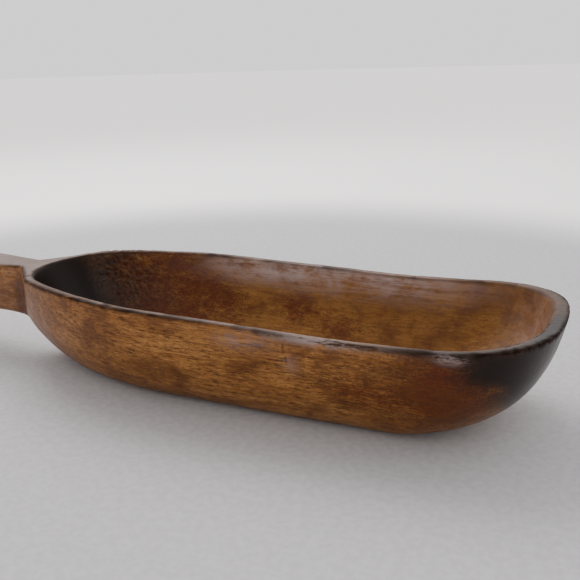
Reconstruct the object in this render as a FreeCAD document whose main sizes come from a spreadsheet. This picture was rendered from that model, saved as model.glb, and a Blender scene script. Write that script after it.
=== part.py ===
"""Carved wooden feed scoop: a long dish with a solid handle let into its heel.

Frame: +X runs from the handle to the tip of the bowl, +Y to the left, +Z up.
The origin lies in the flat foot that the bowl rests on. All sizes are in millimetres.
"""
import FreeCAD, Part
import math
import os

import Sketcher

Vector = FreeCAD.Vector

# name, value in millimetres, meaning
DIMENSIONS = [
    ("rim_height", 55.4, "height of the rim where its front sweep begins"),
    ("rim_half_width", 60.0, "half the outside width at the rim"),
    ("rim_tip", 205.2, "outside of the tip at the rim"),
    ("rim_heel_radius", 14.0, "plan radius with which its outline would close behind the neck"),
    ("rim_corner_radius", 46.0, "plan radius of the two tip corners"),
    ("rim_end_radius", 150.0, "plan radius of the tip between its corners"),
    ("side_start", 8.0, "where the straight sides begin"),
    ("foot_half_width", 28.0, "half the width of the flat foot"),
    ("foot_tip", 136.0, "front end of the foot"),
    ("foot_heel", -78.0, "back end of the foot"),
    ("foot_heel_radius", 7.0, "plan radius of the back end of the foot"),
    ("foot_corner_radius", 18.0, "plan radius of the foot's front corners"),
    ("foot_end_radius", 90.0, "plan radius of the foot between them"),
    ("foot_upright", 11.4, "height of the even slope between the outside's turn and the rim"),
    ("side_wall", 5.2, "thickness of the sides at the rim"),
    ("tip_wall", 8.6, "thickness of the tip at the rim"),
    ("heel_wall", 15.4, "from the neck to the inside of the heel at the rim"),
    ("mouth_heel_radius", 38.0, "plan radius of the inside of the heel at the rim"),
    ("corner_wall", 5.0, "how much tighter the mouth's tip corners are than the rim's"),
    ("floor_thickness", 8.0, "wood left under the lowest point of the inside"),
    ("floor_side_inset", 7.0, "from the side of the foot in to the side of the floor's flat"),
    ("floor_tip_inset", 2.0, "from the front of the foot back to the front of that flat"),
    ("floor_heel_inset", 28.0, "from the back of the foot forward to the back of that flat"),
    ("floor_heel_radius", 14.0, "plan radius of the flat's back end"),
    ("floor_corner_radius", 12.0, "plan radius of its front corners"),
    ("floor_end_radius", 60.0, "plan radius of the floor between them"),
    ("floor_upright", 5.4, "height of the even slope between the inside's turn and the rim"),
    ("crown", -60.0, "where the back of the rim is highest"),
    ("crown_rise", 3.0, "its height there above the start of the front sweep"),
    ("crown_radius", 1740.0, "radius of the rim's gentle crown, seen from the side"),
    ("sweep_start", 85.0, "where the rim begins its sweep up to the tip"),
    ("tip_rise", 3.8, "height of the tip above the start of the sweep"),
    ("rim_round", 1.0, "rounding of the rim's edges"),
    ("neck_face", -118.0, "the plane where handle and bowl meet"),
    ("neck_half_width", 9.0, "half the width of the neck in that plane"),
    ("shoulder", -86.0, "where the neck's cut runs out on the rim"),
    ("shoulder_inset", 19.5, "how far inside the straight sides it runs out"),
    ("spigot_radius", 5.5, "radius of the handle's spigot"),
    ("spigot_length", 12.0, "length of the spigot"),
    ("spigot_drop", 15.0, "depth of the spigot's axis under the top of the neck"),
    ("glue_gap", 0.1, "clearance round the spigot"),
    ("glue_pocket", 1.0, "space left beyond the spigot's end"),
    ("neck_depth", 36.933, "depth of the scoop where handle and bowl meet"),
    ("neck_top_radius", 1.5, "rounding of the neck's upper edges"),
    ("neck_under_radius", 7.0, "rounding of the neck's lower edges"),
    ("flare_back", 11.0, "from the neck to the middle of the flare behind it"),
    ("flare_half_width", 11.0, "half the width there"),
    ("flare_depth", 33.5, "depth there"),
    ("flare_top_radius", 2.5, "rounding of the upper edges there"),
    ("flare_under_radius", 8.5, "rounding of the lower edges there"),
    ("grip_back", 32.0, "from the neck to the widest place of the grip"),
    ("grip_half_width", 16.0, "half the width there"),
    ("grip_depth", 32.0, "depth there"),
    ("grip_top_radius", 5.0, "rounding of the upper edges there"),
    ("grip_under_radius", 12.0, "rounding of the lower edges there"),
    ("waist_back", 64.0, "from the neck to the narrower place of the grip"),
    ("waist_half_width", 16.5, "half the width there"),
    ("waist_depth", 30.0, "depth there"),
    ("waist_top_radius", 5.0, "rounding of the upper edges there"),
    ("waist_under_radius", 12.0, "rounding of the lower edges there"),
    ("end_back", 106.0, "from the neck to the end of the handle"),
    ("end_half_width", 16.0, "half the width at the end of the handle"),
    ("end_depth", 28.0, "depth there"),
    ("end_top_radius", 9.0, "rounding of the upper edges there"),
    ("end_under_radius", 11.0, "rounding of the lower edges there"),
    ("end_round", 7.0, "rounding of the end of the handle"),
]

# How far up its turn, in degrees, each cross-section of a dished surface is taken.
TURN_ANGLES = (0, 22, 45, 68, 90)
# The share of a wall's spread that its curved turn has; the rest is an even slope.
TURN_SHARE = 0.78
# The blank stands this much above the rim, so that the rim's curve can be cut from it.
BLANK_ALLOWANCE = 8
# How far a cutting sketch runs past the wood.
OVERRUN = 12


class Size:
    """A size as FreeCAD's expression for it, together with its present value."""

    def __init__(self, text, value):
        self.text = text
        self.value = value

    @staticmethod
    def of(item):
        """The item itself, or a plain number made into a Size."""
        return item if isinstance(item, Size) else Size(f"{item:.6g}", item)

    def join(self, sign, other, value):
        """Two sizes joined by an arithmetic sign."""
        return Size(f"({self.text} {sign} {Size.of(other).text})", value)

    def __add__(self, other):
        return self.join("+", other, self.value + Size.of(other).value)

    def __sub__(self, other):
        return self.join("-", other, self.value - Size.of(other).value)

    def __mul__(self, other):
        return self.join("*", other, self.value * Size.of(other).value)

    def __truediv__(self, other):
        return self.join("/", other, self.value / Size.of(other).value)

    def __neg__(self):
        return self * -1

    def root(self):
        """The size's square root."""
        return Size(f"sqrt({self.text})", math.sqrt(self.value))


doc = FreeCAD.newDocument("FeedScoop")
sheet = doc.addObject("Spreadsheet::Sheet", "Sizes")
SIZE = {}
for row, (name, value, meaning) in enumerate(DIMENSIONS, start=1):
    sheet.set(f"A{row}", name)
    sheet.set(f"B{row}", str(value))
    sheet.set(f"C{row}", meaning)
    sheet.setAlias(f"B{row}", name)
    SIZE[name] = Size(f"Sizes.{name}", value)
doc.recompute()



def opened(closed, rise, full):
    """How far a dished surface has opened, from 0 at its bottom to 1 at the rim.

    closed is the share of its curved turn still to come and rise its height out of full.
    """
    return Size.of(1) - Size.of(closed) * TURN_SHARE - (full - rise) / full * (1 - TURN_SHARE)


def crown_height(place):
    """Height of the rim's crowned back part at a place along the scoop."""
    radius = SIZE["crown_radius"]
    off = place - SIZE["crown"]
    top = SIZE["rim_height"] + SIZE["crown_rise"]
    return top - radius + (radius * radius - off * off).root()


NECK_TOP = crown_height(SIZE["neck_face"])


def rim_heel():
    """Where the rim's outline closes, so that the heel meets the neck's underside in its plane."""
    full = SIZE["rim_height"]
    rise = NECK_TOP - SIZE["neck_depth"]
    left = Size.of(1) - rise / (full - SIZE["foot_upright"])
    closed = Size.of(1) - (Size.of(1) - left * left).root()
    return SIZE["foot_heel"] + (SIZE["neck_face"] - SIZE["foot_heel"]) / opened(closed, rise, full)


# The outlines take what they share with each other from the same values.
OUTLINES = {
    "rim": {
        "half_width": SIZE["rim_half_width"],
        "tip": SIZE["rim_tip"],
        "heel": rim_heel(),
        "heel_radius": SIZE["rim_heel_radius"],
        "corner_radius": SIZE["rim_corner_radius"],
        "end_radius": SIZE["rim_end_radius"],
    },
    "foot": {
        "half_width": SIZE["foot_half_width"],
        "tip": SIZE["foot_tip"],
        "heel": SIZE["foot_heel"],
        "heel_radius": SIZE["foot_heel_radius"],
        "corner_radius": SIZE["foot_corner_radius"],
        "end_radius": SIZE["foot_end_radius"],
    },
    "mouth": {
        "half_width": SIZE["rim_half_width"] - SIZE["side_wall"],
        "tip": SIZE["rim_tip"] - SIZE["tip_wall"],
        "heel": SIZE["neck_face"] + SIZE["heel_wall"],
        "heel_radius": SIZE["mouth_heel_radius"],
        "corner_radius": SIZE["rim_corner_radius"] - SIZE["corner_wall"],
        "end_radius": SIZE["rim_end_radius"] - SIZE["corner_wall"],
    },
    "floor": {
        "half_width": SIZE["foot_half_width"] - SIZE["floor_side_inset"],
        "tip": SIZE["foot_tip"] - SIZE["floor_tip_inset"],
        "heel": SIZE["foot_heel"] + SIZE["floor_heel_inset"],
        "heel_radius": SIZE["floor_heel_radius"],
        "corner_radius": SIZE["floor_corner_radius"],
        "end_radius": SIZE["floor_end_radius"],
    },
}


# ---------------------------------------------------------------- drawing helpers
def new_body(label):
    """An empty body whose label names the piece."""
    body = doc.addObject("PartDesign::Body", label)
    body.Label = label
    return body


def new_sketch(body, name, role, offset=None):
    """A sketch on the body's own origin plane, moved along its normal by a Size."""
    sketch = body.newObject("Sketcher::SketchObject", name)
    plane = next(item for item in body.Origin.OriginFeatures if item.Role == role)
    sketch.AttachmentSupport = (plane, [""])
    sketch.MapMode = "FlatFace"
    if offset is not None:
        sketch.setExpression("AttachmentOffset.Base.z", offset.text)
    return sketch


def bind(sketch, kind, *place, size):
    """Add one dimension to a sketch and bind it to a Size."""
    index = sketch.addConstraint(Sketcher.Constraint(kind, *place, size.value))
    sketch.setExpression(f"Constraints[{index}]", size.text)


def pin(sketch, edge, end, across, up):
    """Fix one end of an edge at two Sizes from the sketch's origin."""
    bind(sketch, "DistanceX", -1, 1, edge, end, size=Size.of(across))
    bind(sketch, "DistanceY", -1, 1, edge, end, size=Size.of(up))


def arc(centre, radius, start, end):
    """An arc of a circle in the sketch plane, from one point to the other, counter-clockwise."""
    angles = [math.atan2(point[1] - centre[1], point[0] - centre[0]) for point in (start, end)]
    return Part.ArcOfCircle(Part.Circle(Vector(*centre, 0), Vector(0, 0, 1), radius), *angles)


def line(start, end):
    """A straight edge in the sketch plane."""
    return Part.LineSegment(Vector(*start, 0), Vector(*end, 0))


def touching_point(small, radius, large):
    """Where a small circle touches the large one that it lies inside."""
    reach = math.hypot(small[0] - large[0], small[1] - large[1])
    return tuple(small[i] + radius * (small[i] - large[i]) / reach for i in (0, 1))


def mirrored(point):
    """The point on the other side of the scoop's middle line."""
    return point[0], -point[1]


# ---------------------------------------------------------------- dished surfaces
def boat_outline(body, name, height, sizes):
    """A closed plan outline: rounded heel, swelling flanks, straight sides, blunt round tip."""
    half, tip, heel, heel_radius, corner_radius, end_radius = sizes.values()
    start = SIZE["side_start"]
    heel_centre = heel + heel_radius
    end_centre = tip - end_radius

    # The same outline worked out by hand gives the sketch solver its starting positions.
    run = start.value - heel_centre.value
    flank_radius = ((run ** 2 + half.value ** 2 - heel_radius.value ** 2)
                    / (2 * (half.value - heel_radius.value)))
    side = half.value - corner_radius.value
    reach = end_radius.value - corner_radius.value
    corner = (end_centre.value + math.sqrt(reach ** 2 - side ** 2), side)
    flank = (start.value, half.value - flank_radius)
    nose = (heel_centre.value, 0)
    end = (end_centre.value, 0)
    heel_touch = touching_point(nose, heel_radius.value, flank)
    tip_touch = touching_point(corner, corner_radius.value, end)
    side_back = (start.value, half.value)
    side_front = (corner[0], half.value)

    sketch = new_sketch(body, name, "XY_Plane", height)
    sketch.addGeometry([
        arc(nose, heel_radius.value, heel_touch, mirrored(heel_touch)),
        arc(mirrored(flank), flank_radius, mirrored(heel_touch), mirrored(side_back)),
        line(mirrored(side_back), mirrored(side_front)),
        arc(mirrored(corner), corner_radius.value, mirrored(side_front), mirrored(tip_touch)),
        arc(end, end_radius.value, mirrored(tip_touch), tip_touch),
        arc(corner, corner_radius.value, tip_touch, side_front),
        line(side_front, side_back),
        arc(flank, flank_radius, side_back, heel_touch),
    ], False)
    for edge in range(8):
        sketch.addConstraint(Sketcher.Constraint("Tangent", edge, 2, (edge + 1) % 8, 1))
    sketch.addConstraint([
        Sketcher.Constraint("Horizontal", 2),
        Sketcher.Constraint("Horizontal", 6),
        Sketcher.Constraint("PointOnObject", 0, 3, -1),
        Sketcher.Constraint("PointOnObject", 4, 3, -1),
        Sketcher.Constraint("Symmetric", 2, 1, 6, 2, -1),
    ])
    bind(sketch, "DistanceX", -1, 1, 0, 3, size=heel_centre)
    bind(sketch, "Radius", 0, size=heel_radius)
    bind(sketch, "DistanceX", -1, 1, 6, 2, size=start)
    bind(sketch, "DistanceY", -1, 1, 6, 2, size=half)
    bind(sketch, "DistanceX", -1, 1, 4, 3, size=end_centre)
    bind(sketch, "Radius", 4, size=end_radius)
    bind(sketch, "Radius", 3, size=corner_radius)
    bind(sketch, "Radius", 5, size=corner_radius)
    return sketch


def dished_sections(body, low, high, base, upright):
    """Outlines that open from the low one at height base to the high one at the rim."""
    sections = []
    full = SIZE["rim_height"] - base
    turn = full - upright
    for index, angle in enumerate(TURN_ANGLES + ("blank",)):
        if angle == "blank":
            rise = full + BLANK_ALLOWANCE
            closed = 0
        else:
            rise = turn * (1 - math.cos(math.radians(angle)))
            closed = 1 - math.sin(math.radians(angle))
        opening = opened(closed, rise, full)
        sizes = {key: size + (OUTLINES[high][key] - size) * opening
                 for key, size in OUTLINES[low].items()}
        sections.append(boat_outline(body, f"{high}_outline_{index}", base + rise, sizes))
    return sections


def loft(body, kind, name, sections):
    """A smooth loft through closed sketches, added to the body or cut from it."""
    feature = body.newObject(f"PartDesign::{kind}", name)
    feature.Profile = sections[0]
    feature.Sections = sections[1:]
    feature.Ruled = False
    return feature


def cut_through(body, name, sketch):
    """Cut a sketch right through the body, both ways from its plane."""
    feature = body.newObject("PartDesign::Pocket", name)
    feature.Profile = sketch
    feature.Type = "ThroughAll"
    feature.SideType = "Symmetric"
    return feature


# ---------------------------------------------------------------- the bowl
def arc_by_ends(start, end, radius):
    """The counter-clockwise arc of this radius between two points, less than half a turn."""
    middle = ((start[0] + end[0]) / 2, (start[1] + end[1]) / 2)
    across = (end[0] - start[0], end[1] - start[1])
    chord = math.hypot(*across)
    lift = math.sqrt(radius ** 2 - chord ** 2 / 4) / chord
    centre = (middle[0] - across[1] * lift, middle[1] + across[0] * lift)
    return arc(centre, radius, start, end)


def rim_curve(body):
    """Trim the blank's top to the rim's line: a low crown, a straight fall and a sweep up to the tip."""
    crown, radius, sweep = SIZE["crown"], SIZE["crown_radius"], SIZE["sweep_start"]
    low = SIZE["rim_height"]
    back, front = SIZE["neck_face"] - OVERRUN, SIZE["rim_tip"] + OVERRUN
    ceiling = low + BLANK_ALLOWANCE + OVERRUN

    # starting positions for the solver, which makes the three parts run smoothly into each other
    run = sweep.value - crown.value
    off = run - math.sqrt(run ** 2 - 2 * SIZE["crown_rise"].value * radius.value)
    crown_end = crown + off
    fall = off / radius.value
    reach = SIZE["rim_tip"].value - sweep.value
    sweep_radius = reach ** 2 / (2 * (SIZE["tip_rise"].value + fall * reach))
    corners = [(back, crown_height(back)), (crown_end, crown_height(crown_end)), (sweep, low),
               (SIZE["rim_tip"], low + SIZE["tip_rise"]), (front, low + SIZE["tip_rise"]),
               (front, ceiling), (back, ceiling)]
    points = [(x.value, z.value) for x, z in corners]

    sketch = new_sketch(body, "rim_line", "XZ_Plane")
    sketch.addGeometry([
        arc_by_ends(points[1], points[0], radius.value),
        line(points[1], points[2]),
        arc_by_ends(points[2], points[3], sweep_radius),
        line(points[3], points[4]),
        line(points[4], points[5]),
        line(points[5], points[6]),
        line(points[6], points[0]),
    ], False)
    sketch.addConstraint([
        Sketcher.Constraint("Tangent", 0, 1, 1, 1),
        Sketcher.Constraint("Tangent", 1, 2, 2, 1),
        Sketcher.Constraint("Coincident", 2, 2, 3, 1),
        Sketcher.Constraint("Coincident", 3, 2, 4, 1),
        Sketcher.Constraint("Coincident", 4, 2, 5, 1),
        Sketcher.Constraint("Coincident", 5, 2, 6, 1),
        Sketcher.Constraint("Coincident", 6, 2, 0, 2),
    ])
    bind(sketch, "Radius", 0, size=radius)
    bind(sketch, "DistanceX", -1, 1, 0, 3, size=crown)
    bind(sketch, "DistanceY", 0, 3, -1, 1, size=radius - low - SIZE["crown_rise"])
    bind(sketch, "DistanceX", -1, 1, 6, 2, size=back)
    for edge, end, corner in ((1, 2, 2), (2, 2, 3), (3, 2, 4), (4, 2, 5), (5, 2, 6)):
        pin(sketch, edge, end, *corners[corner])
    return cut_through(body, "rim_cut", sketch)


def neck_cuts(body):
    """Cut the heel to the neck's plane and shape the two hollows beside the neck."""
    face, half = SIZE["neck_face"], SIZE["neck_half_width"]
    shoulder = SIZE["shoulder"]
    shoulder_half = SIZE["rim_half_width"] - SIZE["shoulder_inset"]
    back = OUTLINES["rim"]["heel"] - OVERRUN
    out = SIZE["rim_half_width"] + OVERRUN
    # the hollow's straight face carries on past the shoulder, clear of the wood
    reach = (out - half) / (shoulder_half - half)
    front = face + (shoulder - face) * reach
    corners = [(face, half), (front, out), (back, out), (back, -out), (front, -out), (face, -half)]
    sketch = new_sketch(body, "neck_plan", "XY_Plane")
    count = len(corners)
    for index in range(count):
        ends = [corners[index], corners[(index + 1) % count]]
        sketch.addGeometry(line(*[(x.value, y.value) for x, y in ends]), False)
    for index in range(count):
        sketch.addConstraint(Sketcher.Constraint("Coincident", index, 2, (index + 1) % count, 1))
        pin(sketch, index, 1, *corners[index])
    return cut_through(body, "neck_cut", sketch)


def socket(body):
    """The blind round hole in the heel that the handle's spigot is glued into."""
    sketch = new_sketch(body, "socket_circle", "YZ_Plane", SIZE["neck_face"])
    radius = SIZE["spigot_radius"] + SIZE["glue_gap"]
    height = NECK_TOP - SIZE["spigot_drop"]
    sketch.addGeometry(Part.Circle(Vector(0, height.value, 0), Vector(0, 0, 1), radius.value), False)
    sketch.addConstraint(Sketcher.Constraint("PointOnObject", 0, 3, -2))
    bind(sketch, "DistanceY", -1, 1, 0, 3, size=height)
    bind(sketch, "Radius", 0, size=radius)
    hole = body.newObject("PartDesign::Pocket", "socket")
    hole.Profile = sketch
    hole.Type = "Length"
    hole.setExpression("Length", (SIZE["spigot_length"] + SIZE["glue_pocket"]).text)
    hole.Reversed = True
    return hole


def rounded(body, name, wanted, radius):
    """Round the edges of the body's last feature that wanted accepts."""
    doc.recompute()
    base = body.Tip
    edges = [f"Edge{index}" for index, edge in enumerate(base.Shape.Edges, start=1) if wanted(edge)]
    feature = body.newObject("PartDesign::Fillet", name)
    feature.Base = (base, edges)
    feature.setExpression("Radius", radius.text)
    return feature


def round_rim(body):
    """Round the rim inside and out, but not where it runs on across the neck."""
    doc.recompute()
    tops = [face for face in body.Tip.Shape.Faces
            if face.BoundBox.ZMin > SIZE["rim_height"].value - 1]
    border = [edge.hashCode() for face in tops for edge in face.Edges]
    joint = SIZE["neck_face"].value + 0.01
    return rounded(body, "rim_rounding", lambda edge: border.count(edge.hashCode()) == 1
                   and edge.BoundBox.XMax > joint, SIZE["rim_round"])


def build_bowl():
    """The dish, its rim, its neck and the socket in its heel."""
    body = new_body("bowl")
    loft(body, "AdditiveLoft", "outside",
         dished_sections(body, "foot", "rim", Size.of(0), SIZE["foot_upright"]))
    loft(body, "SubtractiveLoft", "inside",
         dished_sections(body, "floor", "mouth", SIZE["floor_thickness"],
                        SIZE["floor_upright"]))
    rim_curve(body)
    neck_cuts(body)
    round_rim(body)
    socket(body)
    return body


# ---------------------------------------------------------------- the handle
SECTION_SIZES = ("half_width", "top_radius", "under_radius")
HANDLE_PLACES = ("neck", "flare", "grip", "waist", "end")


def handle_section(body, place):
    """The handle's cross-section at a named place: flat top, rounded underside."""
    half, edge, under = (SIZE[f"{place}_{key}"] for key in SECTION_SIZES)
    top = NECK_TOP
    back = Size.of(0) if place == "neck" else SIZE[f"{place}_back"]
    bottom = top - SIZE[f"{place}_depth"]
    # corners of the section on the +Y side, from the top down, as (y, z)
    side = [(half - edge, top), (half, top - edge), (half, bottom + under), (half - under, bottom)]
    ring = side + [(-y, z) for y, z in reversed(side)]
    sketch = new_sketch(body, f"{place}_section", "YZ_Plane", SIZE["neck_face"] - back)
    points = [(y.value, z.value) for y, z in ring]
    radii = {0: edge, 2: under, 4: under, 6: edge}
    count = len(ring)
    for number in range(count):
        start, end = points[number], points[(number + 1) % count]
        if number in radii:
            sketch.addGeometry(arc_by_ends(end, start, radii[number].value), False)
        else:
            sketch.addGeometry(line(end, start), False)
    for number in range(count):
        sketch.addConstraint(Sketcher.Constraint("Coincident", number, 1, (number + 1) % count, 2))
        pin(sketch, number, 2, *ring[number])
        if number in radii:
            bind(sketch, "Radius", number, size=radii[number])
    return sketch


def build_handle():
    """The grip, flaring out behind the neck, with the spigot on its front."""
    body = new_body("handle")
    loft(body, "AdditiveLoft", "grip", [handle_section(body, place) for place in HANDLE_PLACES])
    end_face = SIZE["neck_face"].value - SIZE["end_back"].value
    rounded(body, "end_rounding", lambda edge: edge.BoundBox.XMax < end_face + 1, SIZE["end_round"])

    sketch = new_sketch(body, "spigot_circle", "YZ_Plane", SIZE["neck_face"])
    height = NECK_TOP - SIZE["spigot_drop"]
    radius = SIZE["spigot_radius"]
    sketch.addGeometry(Part.Circle(Vector(0, height.value, 0), Vector(0, 0, 1), radius.value), False)
    sketch.addConstraint(Sketcher.Constraint("PointOnObject", 0, 3, -2))
    bind(sketch, "DistanceY", -1, 1, 0, 3, size=height)
    bind(sketch, "Radius", 0, size=radius)
    spigot = body.newObject("PartDesign::Pad", "spigot")
    spigot.Profile = sketch
    spigot.setExpression("Length", SIZE["spigot_length"].text)
    return body


# ---------------------------------------------------------------- build, check and write
def check(pieces):
    """Stop if any object failed or any piece has no sound solid."""
    for item in doc.Objects:
        if {"Invalid", "Error"} & set(item.State):
            raise RuntimeError(f"{item.Name} did not compute: {item.State}")
    for piece in pieces:
        if piece.Shape.isNull() or not piece.Shape.isValid() or len(piece.Shape.Solids) != 1:
            raise RuntimeError(f"{piece.Label} is not one sound solid")


PIECES = [build_bowl(), build_handle()]
doc.recompute()
check(PIECES)
os.makedirs("parts", exist_ok=True)
for piece in PIECES:
    piece.Shape.exportStep(f"parts/{piece.Label}.step")
    print(piece.Label, f"{piece.Shape.Volume / 1000:.1f} cm3", piece.Shape.BoundBox)
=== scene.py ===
"""Looks of a carved wooden feed scoop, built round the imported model.

Every length is in metres in the row's frame: +X from handle to tip, +Y to the left, +Z up.
"""
import logging
import math
from dataclasses import dataclass, field
from enum import Enum

import bmesh
import bpy
import numpy as np
from mathutils import Matrix, Vector, noise


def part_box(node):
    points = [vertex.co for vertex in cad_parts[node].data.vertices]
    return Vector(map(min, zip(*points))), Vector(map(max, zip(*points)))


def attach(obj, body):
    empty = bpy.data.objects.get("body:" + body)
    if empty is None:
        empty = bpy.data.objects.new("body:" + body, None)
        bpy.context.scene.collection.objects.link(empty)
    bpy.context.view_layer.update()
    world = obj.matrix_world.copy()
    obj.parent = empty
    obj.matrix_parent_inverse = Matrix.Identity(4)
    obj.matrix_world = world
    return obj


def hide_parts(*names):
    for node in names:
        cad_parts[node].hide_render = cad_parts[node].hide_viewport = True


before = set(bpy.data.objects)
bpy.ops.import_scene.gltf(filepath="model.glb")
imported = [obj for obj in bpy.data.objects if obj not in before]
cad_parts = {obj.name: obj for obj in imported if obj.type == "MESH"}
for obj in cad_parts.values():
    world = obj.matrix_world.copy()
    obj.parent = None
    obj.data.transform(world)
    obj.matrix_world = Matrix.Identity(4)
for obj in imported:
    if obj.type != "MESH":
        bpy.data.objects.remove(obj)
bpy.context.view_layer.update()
LOG = logging.getLogger("feed_scoop")
MM = 0.001


# ------------------------------------------------------------------ shader expressions
class Value:
    """A number that varies over a surface, usable in ordinary arithmetic."""

    def __init__(self, paint: "Paint", socket: bpy.types.NodeSocket) -> None:
        """Wrap one output socket of a paint's node tree."""
        self.paint = paint
        self.socket = socket

    def __add__(self, other: "Value | float") -> "Value":
        """Sum of two values."""
        return self.paint.maths("ADD", self, other)

    __radd__ = __add__

    def __sub__(self, other: "Value | float") -> "Value":
        """Difference of two values."""
        return self.paint.maths("SUBTRACT", self, other)

    def __rsub__(self, other: float) -> "Value":
        """Difference with the value on the right."""
        return self.paint.maths("SUBTRACT", other, self)

    def __mul__(self, other: "Value | float") -> "Value":
        """Product of two values."""
        return self.paint.maths("MULTIPLY", self, other)

    __rmul__ = __mul__

    def step(self, low: float, high: float) -> "Value":
        """A smooth rise from 0 at low to 1 at high.

        Args:
            low: Input at which the result is 0.
            high: Input at which the result is 1, which may be below low.

        Returns:
            The eased value, held between 0 and 1.
        """
        node = self.paint.node("ShaderNodeMapRange", {"interpolation_type": "SMOOTHSTEP"},
                               {"Value": self, "From Min": low, "From Max": high})
        return Value(self.paint, node.outputs["Result"])


class Paint:
    """The node tree of one material or world."""

    def __init__(self, owner: bpy.types.Material | bpy.types.World) -> None:
        """Start its tree empty."""
        self.owner = owner
        self.owner.use_nodes = True
        self.tree = self.owner.node_tree
        self.tree.nodes.clear()

    @classmethod
    def material(cls, name: str) -> "Paint":
        """The tree of a new material."""
        return cls(bpy.data.materials.new(name))

    def node(self, kind: str, settings: dict | None = None,
             inputs: dict | None = None) -> bpy.types.Node:
        """Add one node.

        Args:
            kind: The node's type.
            settings: Properties set before anything is plugged in; "stops" holds a ramp's
                places and colours.
            inputs: Numbers, colours, sockets or Values by socket name or index.

        Returns:
            The new node.
        """
        made = self.tree.nodes.new(kind)
        for key, setting in (settings or {}).items():
            if key == "stops":
                for stop, (where, colour) in zip(made.color_ramp.elements, setting):
                    stop.position, stop.color = where, opaque(colour)
            else:
                setattr(made, key, setting)
        for key, item in (inputs or {}).items():
            socket = made.inputs[key]
            if isinstance(item, Value):
                item = item.socket
            if isinstance(item, bpy.types.NodeSocket):
                self.tree.links.new(item, socket)
            else:
                socket.default_value = item
        return made

    def maths(self, operation: str, *terms: "Value | float") -> Value:
        """One arithmetic step on values and numbers."""
        made = self.node("ShaderNodeMath", {"operation": operation}, dict(enumerate(terms)))
        return Value(self, made.outputs[0])

    def place(self) -> bpy.types.NodeSocket:
        """The position on the object, in metres."""
        return self.node("ShaderNodeTexCoord").outputs["Object"]

    def stretched(self, place: bpy.types.NodeSocket, scale: tuple[float, float, float],
                  shift: tuple[float, float, float] = (0, 0, 0)) -> bpy.types.NodeSocket:
        """The position scaled along each axis, which draws a pattern out along the grain."""
        made = self.node("ShaderNodeMapping", {},
                         {"Vector": place, "Location": shift, "Scale": scale})
        return made.outputs[0]

    def cloud(self, place: bpy.types.NodeSocket, detail: float = 3, roughness: float = 0.55,
              distortion: float = 0) -> Value:
        """Soft noise between about 0.2 and 0.8, one unit of the position per cell."""
        made = self.node("ShaderNodeTexNoise", {}, {
            "Vector": place, "Scale": 1.0, "Detail": detail,
            "Roughness": roughness, "Distortion": distortion})
        return Value(self, made.outputs["Fac"])

    def mask(self, name: str) -> Value:
        """A value that the mesh carries at each of its points."""
        made = self.node("ShaderNodeAttribute",
                         {"attribute_name": name, "attribute_type": "GEOMETRY"})
        return Value(self, made.outputs["Fac"])

    def blend(self, factor: Value, low: "Tone", high: "Tone") -> bpy.types.NodeSocket:
        """Colour that goes from low to high with the factor."""
        made = self.node("ShaderNodeMix", {"data_type": "RGBA"},
                         {"Factor": factor, MIX_LOW: opaque(low), MIX_HIGH: opaque(high)})
        return made.outputs[MIX_RESULT]


Colour = tuple[float, float, float]
Tone = Colour | bpy.types.NodeSocket
# places of a colour Mix node's sockets, whose names it shares with its number sockets
MIX_LOW, MIX_HIGH, MIX_RESULT = 6, 7, 2


def opaque(colour: Tone) -> tuple | bpy.types.NodeSocket:
    """A colour with full alpha, or the socket itself."""
    return (*colour, 1.0) if isinstance(colour, tuple) else colour


# ------------------------------------------------------------------ finishes
@dataclass(frozen=True)
class Grain:
    """The wood's patterns: soft noises, drawn out along the scoop."""

    wander: Value
    streak: Value
    fine: Value
    blotch: Value
    mottle: Value
    dash: Value
    long_dash: Value
    curl: Value

    @classmethod
    def drawn(cls, paint: Paint) -> "Grain":
        """The patterns as nodes of a paint."""
        place = paint.place()

        def cloud(along: float, across: float, shift: tuple[float, float, float],
                  detail: float, roughness: float = 0.55, distortion: float = 0) -> Value:
            """A noise with this many cells per metre along and across the grain."""
            drawn_out = paint.stretched(place, (along, across, across), shift)
            return paint.cloud(drawn_out, detail, roughness, distortion)

        return cls(wander=cloud(14, 22, (0, 0, 0), 2),
                   streak=cloud(16, 330, (0, 0, 0), 4, 0.65, 0.8),
                   fine=cloud(60, 900, (0, 0, 0), 4, 0.6),
                   blotch=cloud(34, 62, (3, 1, 2), 4, 0.62, 0.8),
                   mottle=cloud(95, 130, (2, 4, 9), 3, 0.6, 0.6),
                   dash=cloud(230, 1500, (1, 5, 2), 3, 0.6, 0.6),
                   long_dash=cloud(90, 800, (7, 2, 4), 3, 0.6, 0.6),
                   curl=cloud(300, 620, (5, 3, 8), 4, 0.65, 1.6))

    def pores(self) -> Value:
        """Short and long dark pores."""
        return self.dash.step(0.47, 0.64) * 0.60 + self.long_dash.step(0.48, 0.66) * 0.50


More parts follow.
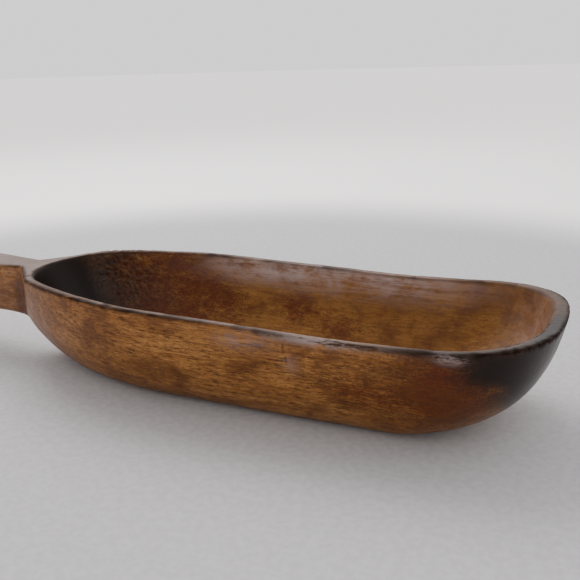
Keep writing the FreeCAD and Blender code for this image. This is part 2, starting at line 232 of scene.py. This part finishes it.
@dataclass(frozen=True)
class StainedWoodWithPaintedLight:
    """Old waxed hardwood with stains: streaks, dark flecks, blotches and rubbed places, with
    painted shade and painted sheen.
    """

    gold: Colour = (0.260, 0.098, 0.019)
    honey: Colour = (0.440, 0.205, 0.060)
    # brown: blotches and stains, and also painted shade in the neck's crease and the bowl's hollow
    brown: Colour = (0.110, 0.034, 0.006)
    red: Colour = (0.110, 0.015, 0.003)
    # near black: chips and dark patches, and also painted shade in the heel end of the hollow
    black: Colour = (0.009, 0.0042, 0.0025)
    olive: Colour = (0.215, 0.098, 0.016)
    # pale greyish: rubbed wood, and also painted grey sheen on the upper inner walls, heel, handle
    # and neck
    pale_wear_and_sheen: Colour = (0.470, 0.365, 0.345)
    land: Colour = (0.086, 0.056, 0.044)
    fleck: Colour = (0.070, 0.022, 0.006)
    edge: Colour = (0.016, 0.006, 0.003)
    specular: float = 0.14
    roughness: float = 0.42
    coat: float = 0.08
    coat_roughness: float = 0.30
    ior: float = 1.5
    relief_strength: float = 0.45
    relief_depth: float = 0.11 * MM

    def make(self, name: str) -> bpy.types.Material:
        """The finish as a material that reads the masks of a WoodenBlank."""
        paint = Paint.material(name)
        grain = Grain.drawn(paint)
        tone = self.ground(paint, grain)
        tone = self.stains_and_painted_shade(paint, grain, tone)
        tone = self.wear_and_painted_light(paint, grain, tone)
        self.surface(paint, grain, tone)
        return paint.owner

    def ground(self, paint: Paint, grain: Grain) -> Tone:
        """The clean wood: golden streaks with brown blotches, greener inside."""
        inside = paint.mask("inside")
        tone = paint.blend((grain.streak * 0.6 + grain.wander * 0.4).step(0.36, 0.64),
                           self.gold, self.honey)
        tone = paint.blend(inside * (grain.mottle * 0.5 + 0.35), tone, self.olive)
        tone = paint.blend(grain.blotch.step(0.42, 0.68) * 0.72, tone, self.brown)
        tone = paint.blend(grain.fine.step(0.42, 0.72) * 0.45, tone, self.brown)
        tone = paint.blend(grain.curl.step(0.46, 0.66) * 0.42, tone, self.brown)
        cloudy = (grain.mottle * 0.7 + grain.blotch * 0.3).step(0.46, 0.64)
        return paint.blend(inside * cloudy * 0.42, tone, self.brown)

    def stains_and_painted_shade(self, paint: Paint, grain: Grain, tone: Tone) -> Tone:
        """Brown and red stains, the dark figure that shows in them, and painted shade in the neck's
        crease and the bowl's hollow.
        """
        inside, shade, red = (paint.mask(name) for name in ("inside", "shade", "red"))
        # brown where the shade patches are: stains on the flanks, and painted shade in the neck's
        # crease and the bowl's hollow
        uneven = shade + (grain.blotch - 0.5) * shade * 1.6
        tone = paint.blend(uneven.step(0.05, 0.95), tone, self.brown)
        figure = (grain.curl * 0.7 + grain.streak * 0.3).step(0.475, 0.55)
        tone = paint.blend((shade + red * 0.5) * (1 - inside) * figure * 0.85, tone, self.fleck)
        uneven = red * (grain.mottle * 1.6 + grain.curl * 1.6 - 0.85)
        tone = paint.blend(uneven.step(0.15, 0.95) * 0.80, tone, self.red)
        figure = (grain.curl * 0.6 + grain.dash * 0.4).step(0.50, 0.60)
        return paint.blend(red * figure * 0.65, tone, self.fleck)

    def wear_and_painted_light(self, paint: Paint, grain: Grain, tone: Tone) -> Tone:
        """The rim's flat, the open pores, what handling has paled, rubbed and blackened, the dark
        patches, which in the heel's hollow are painted shade, and painted sheen.
        """
        inside, bloom, dark, arris = (paint.mask(name)
                                      for name in ("inside", "bloom", "dark", "arris"))
        tone = paint.blend(paint.mask("land") * (grain.streak * 0.8 + 0.40), tone, self.land)
        pores = grain.pores() * (1 - inside * 0.65) * (1 - bloom * 0.6)
        tone = paint.blend(pores, tone, self.fleck)
        # painted sheen: speckled pale grey on the upper inner walls, the tip's inner end, the heel,
        # the handle and the neck's top
        veil = (grain.mottle * 0.6 + grain.streak * 0.4 + grain.dash * 0.4).step(0.45, 0.88)
        tone = paint.blend(bloom * veil * 0.95, tone, self.pale_wear_and_sheen)
        # near black in the dark patches; in the heel end of the hollow this is painted shade
        patchy = (grain.blotch * 0.5 + grain.curl * 0.9 - 0.7) * dark * (1 - dark)
        tone = paint.blend((dark + patchy * 4.0).step(0.0, 0.98), tone, self.black)
        grime = (grain.streak * 1.2 + grain.mottle * 0.5).step(0.45, 0.85)
        tone = paint.blend(arris * grime * 0.9, tone, self.edge)
        rubbed = paint.mask("rub") * (grain.blotch * 0.5 + grain.dash * 0.5).step(0.40, 0.56)
        tone = paint.blend(rubbed * 0.75, tone, self.pale_wear_and_sheen)
        return paint.blend(paint.mask("chip") * (grain.fine * 0.5 + 0.75), tone, self.black)

    def surface(self, paint: Paint, grain: Grain, tone: Tone) -> None:
        """Roughness, wax and the fine relief of the grain."""
        inside, arris = paint.mask("inside"), paint.mask("arris")
        rough = (self.roughness + (grain.mottle - 0.5) * 0.20 + grain.pores() * 0.10
                 + arris * 0.25 + paint.mask("chip") * 0.30)
        coat = (self.coat + inside * 0.04 + paint.mask("gloss") * 0.60) * (1 - arris)
        relief = grain.fine * 0.35 + grain.streak * 0.5 - grain.pores() * 0.8
        bump = paint.node("ShaderNodeBump", {}, {
            "Strength": self.relief_strength, "Distance": self.relief_depth,
            "Height": relief * (1 - paint.mask("dark") * 0.7)})
        shader = paint.node("ShaderNodeBsdfPrincipled", {}, {
            "Base Color": tone, "Roughness": rough, "Normal": bump.outputs[0],
            "Coat Weight": coat, "Coat Roughness": self.coat_roughness, "IOR": self.ior,
            "Specular IOR Level": self.specular})
        paint.node("ShaderNodeOutputMaterial", {}, {"Surface": shader.outputs[0]})


@dataclass(frozen=True)
class PaleFloor:
    """A matt off-white surface for the scoop to stand on, with painted shade round the scoop and a
    painted glow further off.
    """

    # painted shade: darker, mottled tones of the floor round the scoop
    near: Colour = (0.60, 0.59, 0.605)
    near_low: Colour = (0.50, 0.49, 0.50)
    far: Colour = (0.93, 0.905, 0.895)
    # painted glow: the floor's emission further off, which lights the scoop like a lamp
    glow: Colour = (0.66, 0.63, 0.63)
    pale_from: float = 0.40
    pale_at: float = 0.62

    def make(self, name: str) -> bpy.types.Material:
        """The floor's material: painted shade round the scoop, paler and glowing as painted light
        further away.
        """
        paint = Paint.material(name)
        place = paint.place()
        cloud = paint.cloud(paint.stretched(place, (260, 260, 260)), 3)
        tone = paint.blend(cloud.step(0.35, 0.65) * 0.6, self.near, self.near_low)
        reach = paint.node("ShaderNodeVectorMath", {"operation": "LENGTH"}, {0: place})
        distance = Value(paint, reach.outputs["Value"])
        # further off the painted shade fades into the pale tone and the painted glow comes in
        away = distance.step(self.pale_from, self.pale_at)
        tone = paint.blend(away, tone, self.far)
        glow = paint.blend(away, (0.0, 0.0, 0.0), self.glow)
        shader = paint.node("ShaderNodeBsdfPrincipled", {}, {
            "Base Color": tone, "Roughness": 0.9, "Emission Color": glow, "Emission Strength": 1.0})
        paint.node("ShaderNodeOutputMaterial", {}, {"Surface": shader.outputs[0]})
        return paint.owner


# ------------------------------------------------------------------ wear
class Mark(Enum):
    """Which mask a patch of colour belongs to."""

    # brown stains, and painted shade in the neck's crease and the bowl's hollow
    SHADE = "shade"
    RED = "red"
    # dark patches, and painted shade in the heel end of the hollow
    DARK = "dark"
    RUB = "rub"
    # painted sheen and painted reflection
    BLOOM = "bloom"
    GLOSS = "gloss"
    CHIP = "chip"


@dataclass(frozen=True)
class Patch:
    """A soft-edged patch of colour at a place on the wood, in millimetres."""

    mark: Mark
    centre: tuple[float, float, float]
    reach: tuple[float, float, float]
    strength: float = 1.0
    within: bool = False

    def weight(self, points: np.ndarray) -> np.ndarray:
        """How strongly the patch colours each point, given in millimetres."""
        off = (points - np.array(self.centre)) / np.array(self.reach)
        return self.strength * np.exp(-(off ** 2).sum(axis=1) * 1.4)


@dataclass(frozen=True)
class Dent:
    """A hollow in the wood, or a swell where its depth is below 0, in millimetres."""

    centre: tuple[float, float, float]
    reach: tuple[float, float, float]
    depth: float
    chip: float = 0.0
    softness: float = 0.7

    def weight(self, points: np.ndarray) -> np.ndarray:
        """How deep the hollow is at each point, from 0 to 1."""
        off = (points - np.array(self.centre)) / np.array(self.reach)
        return np.clip(1 - (off ** 2).sum(axis=1), 0, 1) ** self.softness


# ------------------------------------------------------------------ the wood itself
@dataclass
class WoodenBlank:
    """The scoop's whole surface as one fine mesh, worn, marked, and then parted at the neck."""

    bowl: bpy.types.Object
    handle: bpy.types.Object
    voxel: float = 0.95 * MM
    plug_radius: float = 8.5 * MM
    plug_length: float = 17 * MM
    plug_behind: float = 2 * MM
    plug_drop: float = 15 * MM
    cove_reach: float = 9 * MM
    cove_margin: float = 1.5 * MM
    cove_rounds: int = 60
    smoothing: float = 0.6
    unshrinking: float = -0.62
    arris_bend: float = 0.050 * MM
    arris_worn: float = 0.05
    arris_nicked: float = 0.20
    flank_wave: tuple[float, float] = (46, 0.35)
    tool_wave: tuple[float, float] = (17, 0.12)
    chewed_depth: float = 0.55
    foot_band: float = 1.5
    inside_from: float = -0.110
    land_height: float = 50
    cavity_back: float = -0.060
    cavity_front: float = 0.150
    cavity_height: float = 0.048
    patches: tuple[Patch, ...] = ()
    dents: tuple[Dent, ...] = ()
    points: np.ndarray = field(default_factory=lambda: np.zeros((0, 3)))
    normals: np.ndarray = field(default_factory=lambda: np.zeros((0, 3)))
    masks: dict[str, np.ndarray] = field(default_factory=dict)

    def build(self) -> bpy.types.Object:
        """Make the mesh, wear it and mark it.

        Returns:
            The whole scoop as one object, which part() then divides.
        """
        whole = self.fuse()
        self.read(whole)
        edges = self.edges(whole)
        self.relax(edges, 2)
        self.soften_neck(edges)
        self.carve(edges)
        self.relax(edges, 1)
        self.paint_masks(edges)
        whole.data.vertices.foreach_set("co", self.points.astype(np.float32).ravel())
        whole.data.update()
        for name, values in self.masks.items():
            layer = whole.data.attributes.new(name, "FLOAT", "POINT")
            layer.data.foreach_set("value", np.clip(values, 0, 1).astype(np.float32))
        LOG.info("blank: %d points", len(self.points))
        return whole

    def fuse(self) -> bpy.types.Object:
        """Join the two pieces' surfaces into one even fine mesh."""
        joined = bmesh.new()
        joined.from_mesh(self.bowl.data)
        joined.from_mesh(self.handle.data)
        middle = Vector((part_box("bowl")[0].x - self.plug_behind + self.plug_length / 2, 0,
                         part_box("handle")[1].z - self.plug_drop))
        plug = bmesh.ops.create_cone(joined, cap_ends=True, segments=32, radius1=self.plug_radius,
                                     radius2=self.plug_radius, depth=self.plug_length)["verts"]
        turn = Matrix.Rotation(math.pi / 2, 4, "Y")
        bmesh.ops.transform(joined, matrix=Matrix.Translation(middle) @ turn, verts=plug)
        data = bpy.data.meshes.new("blank")
        joined.to_mesh(data)
        joined.free()
        rough = bpy.data.objects.new("blank", data)
        bpy.context.scene.collection.objects.link(rough)
        remesh = rough.modifiers.new("even", "REMESH")
        remesh.mode = "VOXEL"
        remesh.voxel_size = self.voxel
        graph = bpy.context.evaluated_depsgraph_get()
        even = bpy.data.meshes.new_from_object(rough.evaluated_get(graph))
        rough.modifiers.clear()
        rough.data = even
        bpy.data.meshes.remove(data)
        return rough

    def read(self, whole: bpy.types.Object) -> None:
        """Take the mesh's points and normals into arrays."""
        count = len(whole.data.vertices)
        flat = np.zeros(count * 3, np.float32)
        whole.data.vertices.foreach_get("co", flat)
        self.points = flat.reshape(-1, 3).astype(float)
        whole.data.vertices.foreach_get("normal", flat)
        self.normals = flat.reshape(-1, 3).astype(float)

    def edges(self, whole: bpy.types.Object) -> np.ndarray:
        """The mesh's edges as pairs of point numbers."""
        flat = np.zeros(len(whole.data.edges) * 2, np.int32)
        whole.data.edges.foreach_get("vertices", flat)
        return flat.reshape(-1, 2)

    def spread(self, edges: np.ndarray, values: np.ndarray) -> np.ndarray:
        """The mean of each point's neighbours."""
        total = np.zeros_like(values)
        count = np.zeros(len(values))
        for one, other in ((0, 1), (1, 0)):
            np.add.at(total, edges[:, one], values[edges[:, other]])
            np.add.at(count, edges[:, one], 1)
        return total / (count[:, None] if values.ndim == 2 else count)

    def relax(self, edges: np.ndarray, rounds: int) -> None:
        """Even out the mesh without shrinking it."""
        for _ in range(rounds):
            for share in (self.smoothing, self.unshrinking):
                self.points += share * (self.spread(edges, self.points) - self.points)

    def soften_neck(self, edges: np.ndarray) -> None:
        """Turn the corner beside the neck into a soft cove, as a gouge leaves it."""
        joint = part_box("bowl")[0].x
        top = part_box("handle")[1].z
        off = (self.points[:, 0] - joint) / self.cove_reach
        under = np.clip((top - self.cove_margin - self.points[:, 2]) / self.cove_margin, 0, 1)
        weight = (np.exp(-off ** 2) * under)[:, None]
        for _ in range(self.cove_rounds):
            self.points += self.smoothing * weight * (self.spread(edges, self.points) - self.points)

    def waves(self, size: float, seed: float, stretch: float = 1.0) -> np.ndarray:
        """Smooth noise at every point, from about -1 to 1, with cells of this many millimetres."""
        scale = 1 / (size * MM)
        return np.array([noise.noise(Vector((x * scale * stretch, y * scale + seed, z * scale)))
                         for x, y, z in self.points])

    def carve(self, edges: np.ndarray) -> None:
        """Give the wood its hand-cut unevenness, softened arrises, chips and dents."""
        mean = self.spread(edges, self.points)
        bend = ((self.points - mean) * self.normals).sum(axis=1)
        for _ in range(3):
            bend = self.spread(edges, bend)
        arris = np.clip(bend / self.arris_bend - 0.45, 0, 1)
        self.masks["arris"] = arris
        (flank, flank_depth), (tool, tool_depth) = self.flank_wave, self.tool_wave
        offset = self.waves(flank, 3) * flank_depth + self.waves(tool, 8, 0.5) * tool_depth
        offset -= arris * (self.arris_worn + self.arris_nicked * np.clip(self.waves(9, 5), 0, 1))
        chip = np.zeros(len(self.points))
        local = self.points / MM
        grit = self.waves(1.6, 21)
        for dent in self.dents:
            weight = dent.weight(local)
            touched = weight > 0
            offset[touched] -= dent.depth * weight[touched] * (1 + 0.5 * grit[touched])
            chip = np.maximum(chip, dent.chip * np.clip(weight * 1.6, 0, 1))
        ragged = CHEWED_EDGE.weight(local) * arris
        ragged *= np.clip(self.waves(2.0, 33) * 2.4 + 0.30, 0, 1)
        offset -= ragged * self.chewed_depth
        chip = np.maximum(chip, np.clip(ragged * 1.5, 0, 1))
        foot = np.clip(local[:, 2] / self.foot_band, 0, 1)
        self.points += self.normals * (offset * foot * MM)[:, None]
        self.masks["chip"] = chip

    def paint_masks(self, edges: np.ndarray) -> None:
        """Work out where the inside, the rim, the stains and wear, the painted shade and the
        painted sheen are.
        """
        axis = np.clip(self.points[:, 0], self.cavity_back, self.cavity_front)
        centre = np.stack([axis, np.zeros_like(axis), np.full_like(axis, self.cavity_height)],
                          axis=1)
        inward = (self.normals * (centre - self.points)).sum(axis=1) > 0
        inside = (inward & (self.points[:, 0] > self.inside_from)).astype(float)
        for _ in range(2):
            inside = self.spread(edges, inside)
        self.masks["inside"] = inside
        local = self.points / MM
        level = np.clip((self.normals[:, 2] - 0.75) / 0.2, 0, 1) * (local[:, 2] > self.land_height)
        self.masks["land"] = level * (1 - inside)
        for mark in (mark for mark in Mark if mark is not Mark.CHIP):
            total = np.zeros(len(local))
            for patch in self.patches:
                if patch.mark is mark:
                    total += patch.weight(local) * (inside if patch.within else 1 - inside)
            self.masks[mark.value] = np.clip(total, 0, 1)

    def part(self, whole: bpy.types.Object, name: str, keep_front: bool) -> bpy.types.Object:
        """One piece of the scoop, closed with a flat face at the neck.

        Args:
            whole: The worn blank.
            name: The piece's name.
            keep_front: True for the bowl's side of the joint, False for the handle's.

        Returns:
            The new piece.
        """
        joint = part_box("bowl")[0].x
        cut = bmesh.new()
        cut.from_mesh(whole.data)
        bmesh.ops.bisect_plane(cut, geom=cut.verts[:] + cut.edges[:] + cut.faces[:], dist=1e-6,
                               plane_co=(joint, 0, 0), plane_no=(1, 0, 0),
                               clear_inner=keep_front, clear_outer=not keep_front)
        rim = [edge for edge in cut.edges if edge.is_boundary]
        bmesh.ops.contextual_create(cut, geom=rim)
        data = bpy.data.meshes.new(name)
        cut.to_mesh(data)
        cut.free()
        data.shade_smooth()
        piece = bpy.data.objects.new(name, data)
        bpy.context.scene.collection.objects.link(piece)
        return piece


# stains, wear and dark patches outside the hollow, with painted shade and painted reflection among
# them
OUTSIDE_MARKS_AND_PAINTED_LIGHT = (
    Patch(Mark.SHADE, (150, -60, 30), (66, 30, 60), 0.50),
    Patch(Mark.SHADE, (168, -56, 30), (26, 24, 40), 0.65),
    Patch(Mark.DARK, (203, -30, 22), (26, 36, 46), 1.5),
    Patch(Mark.DARK, (182, -54, 49), (26, 20, 11), 0.85),
    Patch(Mark.DARK, (160, -58, 56), (30, 8, 4), 0.55),
    Patch(Mark.DARK, (204, -10, 38), (18, 48, 34), 0.9),
    Patch(Mark.RED, (164, -60, 40), (24, 18, 24), 0.9),
    Patch(Mark.RED, (134, -60, 26), (26, 14, 10), 0.5),
    Patch(Mark.RED, (118, -55, 30), (22, 16, 8), 0.6),
    Patch(Mark.RED, (62, -58, 33), (12, 14, 6), 0.4),
    Patch(Mark.SHADE, (12, -50, 24), (30, 20, 7), 0.5),
    # painted shade in the crease where the handle meets the bowl
    Patch(Mark.SHADE, (-120, -12, 36), (6, 16, 30), 1.0),
    Patch(Mark.RUB, (62, -60, 49), (16, 4, 5), 0.45),
    Patch(Mark.RUB, (105, -60, 54), (30, 4, 2.6), 0.9),
    Patch(Mark.RUB, (88, -59, 40), (5, 6, 6), 0.28),
    Patch(Mark.RUB, (164, -60, 54), (7, 4, 2.6), 1.0),
    Patch(Mark.DARK, (72, -60, 47), (4, 5, 2.0), 0.5),
    # painted reflection: grey sheen low on the heel, over the handle and on the neck's top
    Patch(Mark.BLOOM, (-95, -34, 26), (40, 24, 30), 0.35),
    Patch(Mark.BLOOM, (-165, 0, 45), (50, 30, 50), 0.36),
    Patch(Mark.BLOOM, (-100, 0, 60), (22, 30, 4), 0.30),
    Patch(Mark.GLOSS, (205, -30, 25), (34, 34, 34), 1.0),
    Patch(Mark.SHADE, (150, 60, 30), (60, 30, 60), 0.6),
    Patch(Mark.DARK, (200, 44, 40), (26, 24, 26), 0.6),
    Patch(Mark.RED, (-20, 60, 40), (40, 20, 30), 0.5),
)
# stains and dark patches inside the hollow, with painted shade and painted sheen among them
INSIDE_MARKS_AND_PAINTED_LIGHT = (
    # painted shade: the heel end of the hollow and its floor darkened to near black and brown, by
    # this patch and the next two
    Patch(Mark.DARK, (-102, -6, 40), (76, 58, 60), 1.3, True),
    Patch(Mark.SHADE, (-50, 0, 14), (60, 60, 30), 0.8, True),
    Patch(Mark.DARK, (-40, -10, 8), (30, 40, 16), 0.7, True),
    Patch(Mark.RED, (-52, 42, 40), (52, 32, 36), 1.7, True),
    Patch(Mark.RED, (-10, 46, 26), (26, 22, 14), 0.9, True),
    Patch(Mark.RED, (46, 47, 29), (16, 14, 14), 1.0, True),
    Patch(Mark.RED, (76, 43, 22), (18, 14, 10), 0.9, True),
    Patch(Mark.RED, (150, 48, 50), (14, 20, 10), 0.6, True),
    Patch(Mark.RED, (20, -20, 8), (40, 20, 14), 0.5, True),
    Patch(Mark.RED, (100, -30, 20), (30, 22, 20), 0.6, True),
    # painted sheen along the upper inner walls and at the tip's inner end
    Patch(Mark.BLOOM, (20, 58, 53), (50, 14, 11), 1.1, True),
    Patch(Mark.BLOOM, (95, 58, 52), (62, 14, 12), 1.1, True),
    Patch(Mark.BLOOM, (60, -58, 54), (90, 14, 8), 0.5, True),
    Patch(Mark.BLOOM, (188, 10, 34), (22, 40, 26), 0.5, True),
    # painted shade at the tip's inner end
    Patch(Mark.SHADE, (190, 10, 44), (22, 50, 30), 0.8, True),
    Patch(Mark.GLOSS, (60, 58, 54), (100, 14, 12), 0.4, True),
)
CHEWED_EDGE = Patch(Mark.CHIP, (192, -42, 58), (26, 34, 12), 1.6)
RIM_DAMAGE = (
    Dent((-37, -54.5, 58), (9.0, 2.0, 1.5), 0.6, 0.8),
    Dent((-26, -56.0, 58), (4.0, 1.4, 1.2), 0.5, 0.8),
    Dent((-16, -57.3, 57.8), (3.0, 1.2, 1.2), 0.5, 0.7),
    Dent((2, -59.4, 57.4), (9.0, 1.4, 1.2), 0.5, 0.8),
    Dent((14, -60.0, 57.2), (5.0, 1.2, 1.2), 0.5, 0.8),
    Dent((72, -60.0, 56), (4.0, 1.2, 1.2), 0.5, 0.5),
    Dent((164, -60.0, 54), (5.5, 2.4, 3.0), 1.0, 0.25),
    Dent((154, -60.0, 56.5), (5.0, 2.0, 1.6), 0.6, 0.8),
    Dent((-96.2, -27.1, 57.8), (1.8, 1.8, 1.5), 0.9, 0.8),
    Dent((85, -60.0, 48), (1.1, 2.5, 3.2), 0.5, 0.5),
    Dent((86, -59.0, 42), (1.0, 2.5, 3.0), 0.5, 0.5),
    Dent((-84, 46, 34), (52, 34, 60), -1.6, 0.0, 2.0),
)


# ------------------------------------------------------------------ the studio
@dataclass(frozen=True)
class Lamp:
    """A square soft light aimed at the scoop, in metres and watts."""

    name: str
    place: tuple[float, float, float]
    size: float
    power: float
    colour: Colour
    target: tuple[float, float, float] = (0.04, 0, 0.03)

    def build(self) -> None:
        """Hang the light."""
        data = bpy.data.lights.new(self.name, "AREA")
        data.size = self.size
        data.energy = self.power
        data.color = self.colour
        lamp = bpy.data.objects.new(self.name, data)
        lamp.location = self.place
        aim = Vector(self.target) - Vector(self.place)
        lamp.rotation_euler = aim.to_track_quat("-Z", "Y").to_euler()
        bpy.context.scene.collection.objects.link(lamp)


@dataclass(frozen=True)
class Studio:
    """Floor, lights and camera."""

    camera_place: tuple[float, float, float] = (0.2317, -0.3667, 0.1808)
    azimuth: float = 24.79
    pitch: float = 16.96
    roll: float = 1.55
    lens: float = 48.4
    sensor_width: float = 36
    floor_radius: float = 8.0
    sky_front: Colour = (0.55, 0.54, 0.54)
    sky_back: Colour = (1.35, 1.31, 1.31)
    lamps: tuple[Lamp, ...] = (
        Lamp("window", (-0.5, 0.55, 0.9), 0.8, 9.0, (1.0, 0.985, 0.97)),
        Lamp("front_fill", (0.5, -1.0, 0.7), 1.0, 4.0, (1.0, 0.99, 0.98)),
    )

    def build(self) -> None:
        """Set up everything round the scoop."""
        self.floor()
        self.sky()
        for lamp in self.lamps:
            lamp.build()
        self.camera()

    def floor(self) -> None:
        """A round floor under the foot, whose material paints shade round the scoop and a glow
        further off.
        """
        disc = bmesh.new()
        bmesh.ops.create_circle(disc, cap_ends=True, segments=96, radius=self.floor_radius)
        data = bpy.data.meshes.new("floor")
        disc.to_mesh(data)
        disc.free()
        floor = bpy.data.objects.new("floor", data)
        data.materials.append(PaleFloor().make("pale_floor"))
        bpy.context.scene.collection.objects.link(floor)

    def sky(self) -> None:
        """Soft white light from all round, brighter from behind the scoop."""
        paint = Paint(bpy.data.worlds.new("studio"))
        direction = paint.node("ShaderNodeTexCoord").outputs["Generated"]
        parts = paint.node("ShaderNodeSeparateXYZ", {}, {0: direction})
        depth = paint.node("ShaderNodeMapRange", {},
                           {"Value": parts.outputs["Y"], "From Min": -1.0})
        ramp = paint.node("ShaderNodeValToRGB",
                          {"stops": ((0.30, self.sky_front), (0.70, self.sky_back))},
                          {0: depth.outputs["Result"]})
        sky = paint.node("ShaderNodeBackground", {}, {"Color": ramp.outputs[0], "Strength": 1.0})
        paint.node("ShaderNodeOutputWorld", {}, {"Surface": sky.outputs[0]})
        bpy.context.scene.world = paint.owner

    def camera(self) -> None:
        """A nearly level camera, in front and to the right, looking slightly down."""
        data = bpy.data.cameras.new("camera")
        data.lens = self.lens
        data.sensor_width = self.sensor_width
        camera = bpy.data.objects.new("camera", data)
        turn = (Matrix.Rotation(math.radians(self.azimuth), 4, "Z")
                @ Matrix.Rotation(math.radians(90 - self.pitch), 4, "X")
                @ Matrix.Rotation(math.radians(-self.roll), 4, "Z"))
        camera.matrix_world = Matrix.Translation(self.camera_place) @ turn
        bpy.context.scene.collection.objects.link(camera)
        bpy.context.scene.camera = camera


def main() -> None:
    """Build the scoop and its studio, and report each piece."""
    blank = WoodenBlank(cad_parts["bowl"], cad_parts["handle"],
                        patches=OUTSIDE_MARKS_AND_PAINTED_LIGHT + INSIDE_MARKS_AND_PAINTED_LIGHT, dents=RIM_DAMAGE)
    whole = blank.build()
    wood = StainedWoodWithPaintedLight().make("stained_wood_painted_light")
    for node, keep_front in (("bowl", True), ("handle", False)):
        piece = blank.part(whole, f"carved_{node}_wood", keep_front)
        piece.data.materials.append(wood)
        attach(piece, "root")
        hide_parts(node)
        LOG.info("%s: %d faces", piece.name, len(piece.data.polygons))
    bpy.data.objects.remove(whole)
    Studio().build()


if __name__ == "__main__":
    logging.basicConfig(level=logging.INFO, format="%(name)s: %(message)s")
    main()
